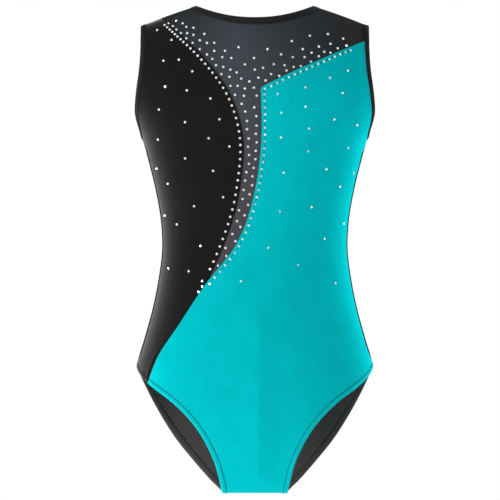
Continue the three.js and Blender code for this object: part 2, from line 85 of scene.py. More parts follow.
CLOTH = 0.8                      # face to wrong side
PROUD = 0.5                      # how far the face of a whole panel stands off the form
SIDE_SEAM = 81.0                 # the side seams lie a little to the front
SEAM_RUN_OUT = 18.0              # over this height at each end they run back to the side
BOUND_TUCK = 3.0                 # a bound edge stops this far inside the binding's fold
HEM_TUCK = 1.4                   # and a hemmed one this far inside the hem's
ROW_HEIGHT = 2.6                 # between the rows of the finished mesh
FOLD_COLUMNS = [0, 0.12, 0.3, 0.5, 0.9, 1.8]   # columns this far in from a turned edge
CENTRE_FOLD = 2.8                # a fold pressed down the centre front still stands this proud
CENTRE_FOLD_AT, CENTRE_FOLD_HALF = 3.4, 26.0
MM = 0.001


def smooth(knots, at):
    """A smooth curve through knots, for an array of places along it."""
    x, y = np.array(knots, float).T
    slope = np.empty_like(y)
    slope[1:-1] = (y[2:] - y[:-2]) / (x[2:] - x[:-2])
    slope[0], slope[-1] = (y[1] - y[0]) / (x[1] - x[0]), (y[-1] - y[-2]) / (x[-1] - x[-2])
    at = np.clip(np.asarray(at, float), x[0], x[-1])
    i = np.clip(np.searchsorted(x, at) - 1, 0, len(x) - 2)
    h = x[i + 1] - x[i]
    t = (at - x[i]) / h
    rise = t * t * (3 - 2 * t)
    bend = h * t * (1 - t) * ((1 - t) * slope[i] - t * slope[i + 1])
    return y[i] + (y[i + 1] - y[i]) * rise + bend


def ease(t):
    t = np.clip(t, 0, 1)
    return t * t * (3 - 2 * t)


def shoulder_line(x):
    return SHOULDER_CREST - SHOULDER_DROP * np.abs(x) ** 1.5


def surface(angle, climb):
    """Millimetre points of the body's form. The angle in degrees runs round it, 0 at the centre
    front and 90 at the wearer's left; the climb is walked up it from the crotch to the
    shoulder, and carries on over to the other face past either."""
    angle, climb = np.broadcast_arrays(np.asarray(angle, float), np.asarray(climb, float))
    over = (climb < 0) | (climb > CREST)
    angle = np.where(over, 180 - angle, angle)
    climb = np.where(climb < 0, -climb, np.where(climb > CREST, 2 * CREST - climb, climb))
    sine, cosine = np.sin(np.radians(angle)), np.cos(np.radians(angle))
    low = np.clip(climb / SEAT_WALK, 0, 1) * math.pi / 2
    high = np.clip((climb - CREST + CHEST_WALK) / CHEST_WALK, 0, 1) * math.pi / 2
    z = SEAT_ROUND * (1 - np.cos(low)) + np.clip(climb - SEAT_WALK, 0, CHEST_ROUND - SEAT_ROUND)
    for _ in range(8):
        x = smooth(HALF_WIDTH, z) * sine
        z = np.where(high > 0, CHEST_ROUND + (shoulder_line(x) - CHEST_ROUND) * np.sin(high), z)
    depth = np.where(cosine > 0, smooth(FRONT_DEPTH, z), smooth(BACK_DEPTH, z))
    reach = depth * np.sin(low) * np.cos(high) * np.abs(cosine) ** SIDE_FULLNESS
    return np.stack([x, -np.sign(cosine) * reach, z], axis=-1)


def chart(x, z, back=False):
    """The angle and climb of a place given across and up, on the front or the back."""
    x, z = np.asarray(x, float), np.asarray(z, float)
    angle = np.degrees(np.arcsin(np.clip(x / smooth(HALF_WIDTH, z), -1, 1)))
    low = SEAT_WALK * np.arccos(1 - np.clip(z, 0, SEAT_ROUND) / SEAT_ROUND) / (math.pi / 2)
    part = np.clip((z - CHEST_ROUND) / (shoulder_line(x) - CHEST_ROUND), 0, 1)
    high = CHEST_WALK * np.arcsin(part) / (math.pi / 2)
    climb = low + np.clip(z - SEAT_ROUND, 0, CHEST_ROUND - SEAT_ROUND) + high
    return (180 - angle if back else angle), climb


def row_at(z):
    return float(chart(0.0, z)[1])


def unit(vectors):
    return vectors / np.linalg.norm(vectors, axis=-1, keepdims=True)


def tangents(angle, climb):
    step = 0.25
    around = (surface(angle + step, climb) - surface(angle - step, climb)) / (2 * step)
    up = (surface(angle, climb + step) - surface(angle, climb - step)) / (2 * step)
    return around, up


def outward(angle, climb):
    return unit(np.cross(*tangents(angle, climb)))


def raised(angle, climb, height):
    """Points above (or below) the form by a height in millimetres."""
    return surface(angle, climb) + outward(angle, climb) * np.asarray(height)[..., None]


def seam_angle(z):
    """The side seam runs back to the very side at its two ends, to meet the leg and the armhole."""
    return 90 - (90 - SIDE_SEAM) * ease(np.minimum(z - HIP, UNDERARM - BOUND_TUCK - z)
                                         / SEAM_RUN_OUT)


def side_edge(z, leg, seam):
    """The wearer's left edge of the front or back: up the leg, the side seam, the armhole."""
    width = smooth(HALF_WIDTH, z)
    above = z + BOUND_TUCK
    bound = np.degrees(np.arcsin(np.clip(smooth(ARMHOLE, above) / smooth(HALF_WIDTH, above), 0, 1)))
    bound = bound - 1.2 * np.clip((above - UNDERARM) / 20, 0, 1)
    seam_x = width * np.sin(np.radians(seam))
    armhole = np.minimum(width * np.sin(np.radians(bound)), seam_x)
    leg_x = np.minimum(smooth(leg, z) - HEM_TUCK, seam_x)
    return np.where(z < HIP, leg_x, np.where(z < UNDERARM - BOUND_TUCK, seam_x, armhole))


def neckline(x, centre, inset=0.0):
    half, low = NECK_HALF + inset, centre - inset
    return low + (shoulder_line(half) - low) * (np.abs(x) / half) ** 2.1


ROW_BLEND = float(chart(*TEAL_CORNER)[1])
NECK_DIP = 70.0                  # how far short of the shoulder line the neckline stops


def row_to_climb(angle, row):
    """Rows are climbs that close up under the neckline, so that the last one is the top edge."""
    x = smooth(HALF_WIDTH, SHOULDER) * np.sin(np.radians(angle))
    half = NECK_HALF + BOUND_TUCK
    near = np.clip(x, -half, half)
    centre = np.where(np.cos(np.radians(angle)) < 0, NECK_BACK, NECK_FRONT)
    bare = chart(near, neckline(near, centre, BOUND_TUCK))[1]
    exact = np.where(np.abs(x) >= half, CREST, bare)
    dip = CREST - NECK_DIP * np.clip(1 - (x / (1.3 * half)) ** 2, 0, 1) ** 2
    part = np.clip((row - ROW_BLEND) / (CREST - ROW_BLEND), 0, 1)
    top = dip + ease((part - 0.55) / 0.45) * (exact - dip)
    return np.where(row <= ROW_BLEND, row, ROW_BLEND + part * (top - ROW_BLEND))


def edge_angle(edge, row, back=False):
    """The angle at which an edge crosses each row, by halving."""
    low, high = np.full_like(row, -1.0), np.full_like(row, SHOULDER_CREST)
    for _ in range(40):
        z = (low + high) / 2
        angle, climb = chart(edge(z), z, back)
        under = climb < row_to_climb(angle, row)
        low, high = np.where(under, z, low), np.where(under, high, z)
    return chart(edge(low), low, back)[0]


def panel_grid(from_row, to_row, left, right, columns):
    """Angles, climbs and distances in from each side edge, of a front panel's points."""
    count = max(3, round((to_row - from_row) / ROW_HEIGHT))
    row = np.linspace(from_row, to_row, count + 1)
    start, end = edge_angle(left, row), edge_angle(right, row)
    middle = (start + end) / 2
    climb = row_to_climb(middle, row)
    ends = [surface(start, climb), surface(middle, climb), surface(end, climb)]
    wide = np.linalg.norm(ends[1] - ends[0], axis=-1) + np.linalg.norm(ends[2] - ends[1], axis=-1)
    near = np.array(FOLD_COLUMNS)[None, :] * np.minimum(1, wide / 8)[:, None] / wide[:, None]
    inner = np.linspace(0, 1, columns + 2)[1:-1]
    span = near[:, -1:]
    cut = np.concatenate([near, span + (1 - 2 * span) * inner, 1 - near[:, ::-1]], axis=1)
    angle = start[:, None] + (end - start)[:, None] * cut
    return angle, row_to_climb(angle, row[:, None]), cut * wide[:, None], (1 - cut) * wide[:, None]


def turned(distance):
    """How far a cloth face drops towards an edge that is turned under and pressed round."""
    radius = CLOTH / 2
    inside = np.clip(distance, 0, radius)
    return radius - np.sqrt(np.maximum(radius ** 2 - (radius - inside) ** 2, 0))


def make_mesh(name, points, faces, finishes, finish_of=None):
    """A mesh from millimetre points. The part's origin lies between the shoulders' tops."""
    mesh = bpy.data.meshes.new(name)
    mesh.from_pydata(((np.asarray(points) - [0, 0, SHOULDER]) * MM).tolist(), [],
                     [list(face) for face in faces])
    for finish in finishes:
        mesh.materials.append(finish)
    if finish_of is not None:
        mesh.polygons.foreach_set("material_index", np.asarray(finish_of, dtype=np.int32))
    mesh.polygons.foreach_set("use_smooth", [True] * len(mesh.polygons))
    mesh.update()
    piece = bpy.data.objects.new(name, mesh)
    bpy.context.collection.objects.link(piece)
    return piece


def map_cloth(piece, across, along):
    """Lay the piece's own map over it, in millimetres, for its knit to follow."""
    layer = piece.data.uv_layers.new(name="cloth")
    corner = np.zeros(len(piece.data.loops), dtype=np.int32)
    piece.data.loops.foreach_get("vertex_index", corner)
    layer.data.foreach_set("uv", np.stack([across, along], axis=-1)[corner].astype(np.float32).ravel())


DEGREE_WIDTH = 2.4               # millimetres round the body for each degree


def cloth(name, angle, climb, top, under, finishes):
    """A closed piece of cloth: a grid of outer points, the same inside, and its cut edges."""
    rows, columns = angle.shape
    outer, inner = raised(angle, climb, top), raised(angle, climb, under)
    points = np.concatenate([outer.reshape(-1, 3), inner.reshape(-1, 3)])
    index = np.arange(rows * columns).reshape(rows, columns)
    a, b, c, d = index[:-1, :-1], index[:-1, 1:], index[1:, 1:], index[1:, :-1]
    face = np.stack([a, b, c, d], axis=-1).reshape(-1, 4)
    wrong = np.stack([a, d, c, b], axis=-1).reshape(-1, 4) + rows * columns
    ring = np.concatenate([index[0, :-1], index[:-1, -1], index[-1, :0:-1], index[:0:-1, 0]])
    after = np.roll(ring, -1)
    rim = np.stack([ring, ring + rows * columns, after + rows * columns, after], axis=-1)
    finish_of = [0] * len(face) + [1] * len(wrong) + [0] * len(rim)
    piece = make_mesh(name, points, np.concatenate([face, wrong, rim]), finishes, finish_of)
    map_cloth(piece, np.tile((angle * DEGREE_WIDTH).ravel(), 2), np.tile(climb.ravel(), 2))
    return piece


def linear(colour):
    """An sRGB hex colour as the linear one that shaders take."""
    parts = [int(colour[i:i + 2], 16) / 255 for i in (1, 3, 5)]
    return [p / 12.92 if p <= 0.04045 else ((p + 0.055) / 1.055) ** 2.4 for p in parts] + [1.0]


def add_node(tree, kind, inputs, **settings):
    """Add a node: its settings, then its inputs, each a value or another node's output."""
    new = tree.nodes.new(kind)
    for name, value in settings.items():
        setattr(new, name, value)
    for name, value in inputs.items():
        if isinstance(value, bpy.types.NodeSocket):
            tree.links.new(value, new.inputs[name])
        else:
            new.inputs[name].default_value = value
    return new


def new_finish(name):
    finish = bpy.data.materials.new(name)
    finish.use_nodes = True
    finish.node_tree.nodes.clear()
    return finish, finish.node_tree


def knit(name, pale, dark, wale, relief, roughness, sheen, sheen_colour):
    """Warp-knitted nylon and elastane, dull side out. Its stitches stand in upright ribs
    (wales) 0.5 mm apart, drawn 'wale' millimetres apart so that they show, and the yarn takes
    the dye a little unevenly, which gives a fine grain between a pale and a dark shade."""
    finish, tree = new_finish(name)
    place = add_node(tree, "ShaderNodeUVMap", {}, uv_map="cloth").outputs["UV"]
    ribs = add_node(tree, "ShaderNodeTexWave", {"Vector": place, "Scale": 0.314 / wale,
                    "Distortion": 1.2, "Detail": 2.0, "Detail Scale": 1.5}, bands_direction="X")
    grain = add_node(tree, "ShaderNodeTexNoise", {"Vector": place, "Scale": 0.45, "Detail": 2.0,
                     "Roughness": 0.6})
    cloud = add_node(tree, "ShaderNodeTexNoise", {"Vector": place, "Scale": 0.03, "Detail": 2.0})
    speck = add_node(tree, "ShaderNodeMapRange", {"Value": grain.outputs["Fac"], "From Min": 0.3,
                     "From Max": 0.7})
    uneven = add_node(tree, "ShaderNodeMath", {0: speck.outputs["Result"],
                      1: cloud.outputs["Fac"]}, operation="ADD")
    half = add_node(tree, "ShaderNodeMath", {0: uneven.outputs["Value"], 1: 0.5},
                    operation="MULTIPLY")
    dye = add_node(tree, "ShaderNodeMix", {"Factor": half.outputs["Value"]}, data_type="RGBA")
    dye.inputs[6].default_value, dye.inputs[7].default_value = linear(dark), linear(pale)
    height = add_node(tree, "ShaderNodeMath", {0: ribs.outputs["Fac"], 1: grain.outputs["Fac"]},
                      operation="ADD")
    bump = add_node(tree, "ShaderNodeBump", {"Strength": relief, "Distance": 0.0002,
                    "Height": height.outputs["Value"]})
    shader = add_node(tree, "ShaderNodeBsdfPrincipled", {"Base Color": dye.outputs[2],
                      "Roughness": roughness, "Specular IOR Level": 0.0,
                      "Sheen Weight": sheen, "Sheen Roughness": 0.35,
                      "Sheen Tint": linear(sheen_colour), "Normal": bump.outputs["Normal"]})
    add_node(tree, "ShaderNodeOutputMaterial", {"Surface": shader.outputs["BSDF"]})
    return finish


teal_face = knit("teal_nylon_elastane_knit", "#02aab0", "#028e94", 1.3, 0.3, 0.8, 0.12, "#20f0f0")
teal_wrong = knit("teal_knit_wrong_side", "#0a8289", "#08747a", 1.3, 0.3, 0.9, 0.0, "#ffffff")


def teal_left(z):
    edge = np.maximum(smooth(TEAL_EDGE, z), -smooth(FRONT_LEG, z) + HEM_TUCK)
    return np.where(z > TEAL_CORNER[1], smooth(TEAL_TOP, z), edge)


def front_side(z):
    return side_edge(z, FRONT_LEG, seam_angle(z))


def centre_fold(angle, climb):
    """The ridge of the pressed fold, from the belly down to the crotch."""
    x, _, z = np.moveaxis(surface(angle, climb), -1, 0)
    off = np.clip(1 - np.abs(x - CENTRE_FOLD_AT) / CENTRE_FOLD_HALF, 0, 1)
    return CENTRE_FOLD * off ** 1.2 * ease((232 - z) / 60) * ease((z - 2) / 22)


CROTCH_KEEP = 0.15
TEAL_LAST = ROW_BLEND + 0.54 * (CREST - ROW_BLEND)
angle, climb, from_left, from_right = panel_grid(CROTCH_KEEP, TEAL_LAST, teal_left, front_side, 96)
drop = turned(np.minimum(from_left, from_right))
ridge = centre_fold(angle, climb)
teal_panel = cloth("teal_front_panel", angle, climb, PROUD - drop + ridge,
                   PROUD - CLOTH + drop + ridge, [teal_face, teal_wrong])
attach(teal_panel, "root")
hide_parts("front_teal_panel")

# ==== Black side panel =======================================================================
# The same knit in black fills the wearer's right side, from the hip to the shoulder. Its curved
# edge is turned under over the mesh, and seamed to the teal below that.
BLACK_EDGE = [[237, -51.2], [258, -41.2], [281, -31.8], [303, -24.3], [325, -18.6],
              [358, -13.8], [381, -12.2], [403, -14.2], [425, -20], [447, -29.8], [469, -45],
              [492, -65.5], [527, -104]]
MEET = BLACK_EDGE[0][0]          # the mesh ends here, and black meets teal below
BLACK_HIP = 122.0
PULL_RIDGE, PULL_GROOVE = 0.45, 0.4   # the seam's pull draws up a low fold beside the teal

black_face = knit("black_nylon_elastane_knit", "#191819", "#111112", 0.9, 0.2, 0.9, 0.36, "#ffffff")
# A darker copy of the black knit with no sheen, for the back panel: painted shade, so that the back's
# sliver at each side reads as a dark line.
black_back = knit("black_knit_back_darker_painted_shade", "#121213", "#0e0e0f", 0.9, 0.2, 0.9, 0.0, "#ffffff")
black_wrong = knit("black_knit_wrong_side", "#4e4a4a", "#454242", 0.9, 0.2, 0.9, 0.0, "#ffffff")


def black_right(z):
    lower = smooth(TEAL_EDGE, z)
    return np.where(z < MEET, lower, np.minimum(smooth(BLACK_EDGE, z), lower)) - 0.1


angle, climb, from_left, from_right = panel_grid(row_at(BLACK_HIP), CREST,
                                                 lambda z: -front_side(z), black_right, 52)
drop = turned(np.minimum(from_left, from_right))
below = ease((MEET - 55 - surface(angle, climb)[..., 2]) / 45)
pull = below * (PULL_RIDGE * np.exp(-((from_right - 5.2) / 1.8) ** 2)
                - PULL_GROOVE * np.exp(-((from_right - 1.4) / 1.3) ** 2))
black_panel = cloth("black_side_panel", angle, climb, PROUD - drop + pull,
                    PROUD - CLOTH + drop + pull, [black_face, black_wrong])
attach(black_panel, "root")
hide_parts("front_black_side_panel")

# ==== Back panel =============================================================================
# One piece of the black knit makes the whole back, from the crotch seam to the shoulders, and
# wraps a little round to the side seams. Its wrong side shows through the leg openings.
BACK_COLUMNS = 150

row = np.linspace(CROTCH_KEEP, CREST, round((CREST - CROTCH_KEEP) / ROW_HEIGHT) + 1)
start = edge_angle(lambda z: side_edge(z, BACK_LEG, 90.0), row, back=True)
seam = seam_angle(row - row_at(HIP) + HIP)
start = np.where(seam < 90, seam, start)
angle = start[:, None] + (360 - 2 * start)[:, None] * np.linspace(0, 1, BACK_COLUMNS + 1)
# The back's face takes the darker copy of the knit, painted shade along the sides.
back_panel = cloth("black_back_panel", angle, row_to_climb(angle, row[:, None]),
                   np.full_like(angle, PROUD), np.full_like(angle, PROUD - CLOTH),
                   [black_back, black_wrong])
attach(back_panel, "root")
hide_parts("back_panel")

# ==== Mesh yoke ==============================================================================
# Power mesh: a fine see-through net of nylon that fills the space between the two front
# pieces up to the neck and both shoulders. Its edges are caught under their turned ones.
YOKE_UNDER = 4.0                 # how far the mesh runs on under the pieces beside it
YOKE_TOP, YOKE_THICK = -0.45, 0.35


def power_mesh(name):
    """A net whose holes are too fine to see one by one, so it lets part of the light through.
    Its wales show as fine upright lines, drawn 1.3 mm apart. Its grey is painted sheen and
    shade: paler over the middle of the chest, for its sheen over the dark inside, darker
    towards the shoulders and the sides, for the shade there, and a warmer, paler grey in the
    narrow strip below, for its sheen there."""
    finish, tree = new_finish(name)
    place = add_node(tree, "ShaderNodeUVMap", {}, uv_map="cloth").outputs["UV"]
    body = add_node(tree, "ShaderNodeTexCoord", {}).outputs["Object"]
    ribs = add_node(tree, "ShaderNodeTexWave", {"Vector": place, "Scale": 0.314 / 1.3,
                    "Distortion": 0.8, "Detail": 1.0}, bands_direction="X")
    grain = add_node(tree, "ShaderNodeTexNoise", {"Vector": place, "Scale": 0.9, "Detail": 2.0})
    split = add_node(tree, "ShaderNodeSeparateXYZ", {"Vector": body})
    # Across the body, from the wearer's right side to the left, for the painted sheen and shade.
    sheen_and_shade_across = add_node(tree, "ShaderNodeMapRange", {"Value": split.outputs["X"],
                      "From Min": -0.130, "From Max": 0.130})
    # Lower down the yoke, towards the strip, a warmer, paler grey is mixed in: painted sheen over the
    # dark inside.
    low = add_node(tree, "ShaderNodeMapRange", {"Value": split.outputs["Z"],
                   "From Min": -0.06, "From Max": -0.2, "To Max": 0.85})
    shade = add_node(tree, "ShaderNodeValToRGB", {"Fac": sheen_and_shade_across.outputs["Result"]})
    ramp = shade.color_ramp
    # The ramp's stops are painted sheen and shade: paler grey over the middle of the chest, darker grey
    # out to the shoulders and the sides.
    ramp.elements[0].position, ramp.elements[0].color = 0.12, linear("#2f3031")
    ramp.elements[1].position, ramp.elements[1].color = 0.9, linear("#2e2e2e")
    for spot, colour in ((0.25, "#323638"), (0.36, "#3c4045"), (0.44, "#3b4449"),
                         (0.5, "#3b4045"), (0.66, "#34383b"), (0.82, "#2d3032")):
        ramp.elements.new(spot).color = linear(colour)
    line = add_node(tree, "ShaderNodeMapRange", {"Value": ribs.outputs["Fac"], "To Min": 0.78,
                    "To Max": 1.16})
    drawn = add_node(tree, "ShaderNodeMix", {"Factor": low.outputs["Result"],
                     6: shade.outputs["Color"]}, data_type="RGBA")
    drawn.inputs[7].default_value = linear("#444144")
    knitted = add_node(tree, "ShaderNodeMix", {"Factor": 1.0, 6: drawn.outputs[2]},
                       data_type="RGBA", blend_type="MULTIPLY")
    tree.links.new(line.outputs["Result"], knitted.inputs[7])
    bump = add_node(tree, "ShaderNodeBump", {"Strength": 0.3, "Distance": 0.0002,
                    "Height": grain.outputs["Fac"]})
    shader = add_node(tree, "ShaderNodeBsdfPrincipled", {"Base Color": knitted.outputs[2],
                      "Roughness": 0.9, "Specular IOR Level": 0.0, "Alpha": 0.86,
                      "Normal": bump.outputs["Normal"]})
    add_node(tree, "ShaderNodeOutputMaterial", {"Surface": shader.outputs["BSDF"]})
    return finish


mesh_face = power_mesh("black_nylon_power_mesh")


def yoke_left(z):
    return smooth(BLACK_EDGE, z) - YOKE_UNDER


def yoke_right(z):
    under = np.where(z < TEAL_CORNER[1], smooth(TEAL_EDGE, z), smooth(TEAL_TOP, z)) + YOKE_UNDER
    return np.minimum(under, front_side(z))


angle, climb, _, _ = panel_grid(row_at(MEET + 2), CREST, yoke_left, yoke_right, 74)
yoke = cloth("mesh_yoke", angle, climb, np.full_like(angle, YOKE_TOP),
             np.full_like(angle, YOKE_TOP - YOKE_THICK), [mesh_face, mesh_face])
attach(yoke, "root")
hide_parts("front_mesh_insert")

# ==== Leg elastics and hems ==================================================================
# A soft elastic runs round each leg opening, and the edge is turned over it and stitched, so
# that it makes a narrow band, slightly proud, in the colour of the piece it belongs to.
ELASTIC = [(6.0, -0.4), (6.0, -0.8), (1.6, -0.8), (1.6, -0.4)]
HEM = [(6.2, 0.52), (6.05, 0.62), (5.6, 0.5), (5.1, 0.8), (3.4, 1.0), (1.6, 0.95), (0.5, 0.7),
       (0.0, 0.1), (0.2, -0.7), (0.9, -1.15), (3.5, -1.25), (5.4, -1.1), (7.2, -0.75), (9.8, -0.2),
       (8.6, -0.16), (6.2, -0.83), (1.3, -0.85), (1.05, -0.2), (1.3, 0.51)]
FINE = 1600                      # places on a path before it is divided evenly


def walk(angle, climb, direction, distance):
    """Walk over the form from a place, in a direction of space, for a distance."""
    steps = 4
    length = np.asarray(distance) / steps
    for _ in range(steps):
        around, up = tangents(angle, climb)
        aa, uu, au = (around ** 2).sum(-1), (up ** 2).sum(-1), (around * up).sum(-1)
        a, u = (direction * around).sum(-1), (direction * up).sum(-1)
        det = aa * uu - au * au
        angle = angle + length * (a * uu - u * au) / det
        climb = climb + length * (u * aa - a * au) / det
    return angle, climb


def even_path(angle, climb, spacing, closed):
    """Places evenly spaced along a finely sampled path."""
    at = surface(angle, climb)
    if closed:
        at = np.concatenate([at, at[:1]])
        angle, climb = np.append(angle, angle[0]), np.append(climb, climb[0])
    run = np.concatenate([[0], np.cumsum(np.linalg.norm(np.diff(at, axis=0), axis=1))])
    count = max(2, round(run[-1] / spacing))
    goal = np.linspace(0, run[-1], count + 1)[:count if closed else count + 1]
    pick = np.clip(np.searchsorted(run, goal), 0, len(at) - 1)
    return angle[pick], climb[pick]


def to_left(angle, climb, closed):
    """The direction to the left of a path, for each place on it."""
    at = surface(angle, climb)
    along = np.roll(at, -1, axis=0) - np.roll(at, 1, axis=0) if closed else np.gradient(at, axis=0)
    return unit(np.cross(outward(angle, climb), along))


def strip(name, angle, climb, section, closed, finishes, widen=1.0):
    """A strip along a path. Its section is a ring of (sideways, height) points, sideways
    being walked over the form to the left of the path. Faces turned inwards, to the body,
    take the second finish."""
    left = to_left(angle, climb, closed)
    ring = []
    for side, height in section:
        a, c = walk(angle, climb, left, side * widen)
        ring.append(raised(a, c, np.full_like(a, height)))
    points = np.stack(ring, axis=1)
    count, sides = points.shape[:2]
    index = np.arange(count * sides).reshape(count, sides)
    here, ahead = (index, np.roll(index, -1, axis=0)) if closed else (index[:-1], index[1:])
    quads = np.stack([here, np.roll(here, -1, axis=1), np.roll(ahead, -1, axis=1), ahead], axis=-1)
    faces = quads.reshape(-1, 4).tolist()
    inside = [sum(section[j - k][1] for k in (0, -1 if j + 1 < sides else sides - 1)) < -1.6
              for j in range(sides)] * len(here)
    if not closed:
        faces += [index[0][::-1].tolist(), index[-1].tolist()]
        inside += [False, False]
    flat = points.reshape(-1, 3)
    area = sum(a[0] * b[1] - b[0] * a[1] for a, b in zip(section, section[1:] + section[:1]))
    if area < 0:
        faces = [face[::-1] for face in faces]
    piece = make_mesh(name, flat, faces, finishes, [int(i) * (len(finishes) - 1) for i in inside])
    run = np.concatenate([[0], np.cumsum(np.linalg.norm(np.diff(points[:, 0], axis=0), axis=1))])
    map_cloth(piece, np.repeat(run, sides), np.tile([side for side, _ in section], count))
    return piece


def leg_curve(sign, leg, start, end, back):
    """A stretch of a leg edge between two heights."""
    part = (1 - np.cos(np.linspace(0, 1, FINE) * math.pi)) / 2
    z = start + (end - start) * part
    angle, climb = chart(np.minimum(smooth(leg, z), smooth(HALF_WIDTH, z)), z, back)
    return sign * angle, climb


def leg_loop(sign):
    """A whole leg opening: down the front from the hip, through the crotch, up the back."""
    front = leg_curve(1, FRONT_LEG, HIP, 0, False)
    back = leg_curve(1, BACK_LEG, 0, HIP, True)
    return (sign * np.concatenate([front[0], back[0][1:-1]]),
            np.concatenate([front[1], back[1][1:-1]]))


def mirrored(section, sign):
    return [(sign * side, height) for side, height in section]


TEAL_HIP = 121.5                 # the teal piece starts here on the wearer's right leg
SIDES = (("left", 1), ("right", -1))

hems = {}
for side, sign in SIDES:
    top = HIP if sign > 0 else TEAL_HIP
    stretches = [("teal_leg_hem", leg_curve(sign, FRONT_LEG, top, 0.0, False)),
                 ("black_leg_hem", leg_curve(sign, BACK_LEG, 0.0, HIP, True))]
    if sign < 0:
        stretches.append(("black_hip_hem", leg_curve(sign, FRONT_LEG, HIP, TEAL_HIP, False)))
    for name, path in stretches:
        path = even_path(*path, 1.6, False)
        finishes = [teal_face, teal_wrong] if name.startswith("teal") else [black_face, black_wrong]
        hem = strip(f"{name}_{side}", *path, mirrored(HEM, -sign), False, finishes)
        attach(hem, "root")
        hems[hem.name] = hem


def woven_elastic(name):
    """Woven elastic: ribs of covered rubber run along it, 1 mm apart, under a dull weave."""
    finish, tree = new_finish(name)
    place = add_node(tree, "ShaderNodeUVMap", {}, uv_map="cloth").outputs["UV"]
    ribs = add_node(tree, "ShaderNodeTexWave", {"Vector": place, "Scale": 0.314},
                    bands_direction="Y")
    shade = add_node(tree, "ShaderNodeMix", {"Factor": ribs.outputs["Fac"]}, data_type="RGBA")
    shade.inputs[6].default_value, shade.inputs[7].default_value = linear("#bdbab0"), linear("#dedbd2")
    bump = add_node(tree, "ShaderNodeBump", {"Strength": 0.5, "Distance": 0.0003,
                    "Height": ribs.outputs["Fac"]})
    shader = add_node(tree, "ShaderNodeBsdfPrincipled", {"Base Color": shade.outputs[2],
                      "Roughness": 0.8, "Specular IOR Level": 0.2,
                      "Normal": bump.outputs["Normal"]})
    add_node(tree, "ShaderNodeOutputMaterial", {"Surface": shader.outputs["BSDF"]})
    return finish


elastic_finish = woven_elastic("woven_elastic")
for side, sign in SIDES:
    elastic = strip(f"woven_leg_elastic_{side}", *even_path(*leg_loop(sign), 2.4, True),
                    mirrored(ELASTIC, -sign), True, [elastic_finish])
    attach(elastic, "root")
    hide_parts(f"leg_elastic_{side}")

# ==== Seams ==================================================================================
# The pieces are joined by overlocked seams inside: both edges lie flat together as a narrow
# allowance, and thread loops over it from edge to edge.
ALLOWANCE_SECTION = [(-3.0, -0.9), (3.0, -0.9), (3.15, -1.15), (3.0, -1.4), (-3.0, -1.4),
                     (-3.15, -1.15)]
LOOP_PITCH = 2.2


def thread_finish(name, colour, light):
    """Spun polyester thread, whose twist shows as slanting shades 0.6 mm apart."""
    finish, tree = new_finish(name)
    body = add_node(tree, "ShaderNodeTexCoord", {}).outputs["Object"]
    twist = add_node(tree, "ShaderNodeTexWave", {"Vector": body, "Scale": 0.314 / 0.0006,
                     "Distortion": 2.0}, bands_direction="DIAGONAL")
    shade = add_node(tree, "ShaderNodeMix", {"Factor": twist.outputs["Fac"]}, data_type="RGBA")
    shade.inputs[6].default_value, shade.inputs[7].default_value = linear(colour), linear(light)
    shader = add_node(tree, "ShaderNodeBsdfPrincipled", {"Base Color": shade.outputs[2],
                      "Roughness": 0.7, "Specular IOR Level": 0.1})
    add_node(tree, "ShaderNodeOutputMaterial", {"Surface": shader.outputs["BSDF"]})
    return finish


def threads(name, runs, outs, radius, finish):
    """Short lengths of thread, each along a run of points, with ends that dive and thin."""
    along = unit(np.gradient(runs, axis=1))
    across = unit(np.cross(outs, along))
    lift = unit(np.cross(along, across))
    count, steps = runs.shape[:2]
    sides = 5
    turn = np.arange(sides) / sides * 2 * math.pi
    thin = np.full(steps, 1.0)
    thin[[0, -1]] = 0.45
    ring = (across[:, :, None] * np.cos(turn)[:, None] + lift[:, :, None] * np.sin(turn)[:, None])
    points = runs[:, :, None] + ring * (radius * thin)[None, :, None, None]
    index = np.arange(count * steps * sides).reshape(count, steps, sides)
    here, ahead = index[:, :-1], index[:, 1:]
    quads = np.stack([here, np.roll(here, -1, axis=2), np.roll(ahead, -1, axis=2), ahead], axis=-1)
    faces = quads.reshape(-1, 4).tolist()
    faces += index[:, 0, ::-1].tolist() + index[:, -1].tolist()
    return make_mesh(name, points.reshape(-1, 3), faces, [finish])


def overlock(name, angle, climb, finish):
    """Loops that slant across an allowance, on its inner side."""
    a, c = even_path(angle, climb, LOOP_PITCH, False)
    left = to_left(a, c, False)
    forward = unit(np.cross(left, outward(a, c)))
    runs, outs = [], []
    for side, ahead, depth in ((-3.2, 0, -1.2), (-2.4, 0.3, -1.62), (0, 1.0, -1.66),
                               (2.4, 1.7, -1.62), (3.2, 2.0, -1.2)):
        p, q = walk(a, c, left, side)
        runs.append(raised(p, q, np.full_like(p, depth)) + forward * ahead)
        outs.append(outward(p, q))
    return threads(name, np.stack(runs, axis=1), np.stack(outs, axis=1), 0.24, finish)


def edge_path(edge, start, end):
    z = np.linspace(start, end, FINE)
    return chart(edge(z), z)


black_thread = thread_finish("black_polyester_thread", "#0b0b0c", "#1b1b1d")
teal_thread = thread_finish("teal_polyester_thread", "#033c40", "#044a4f")

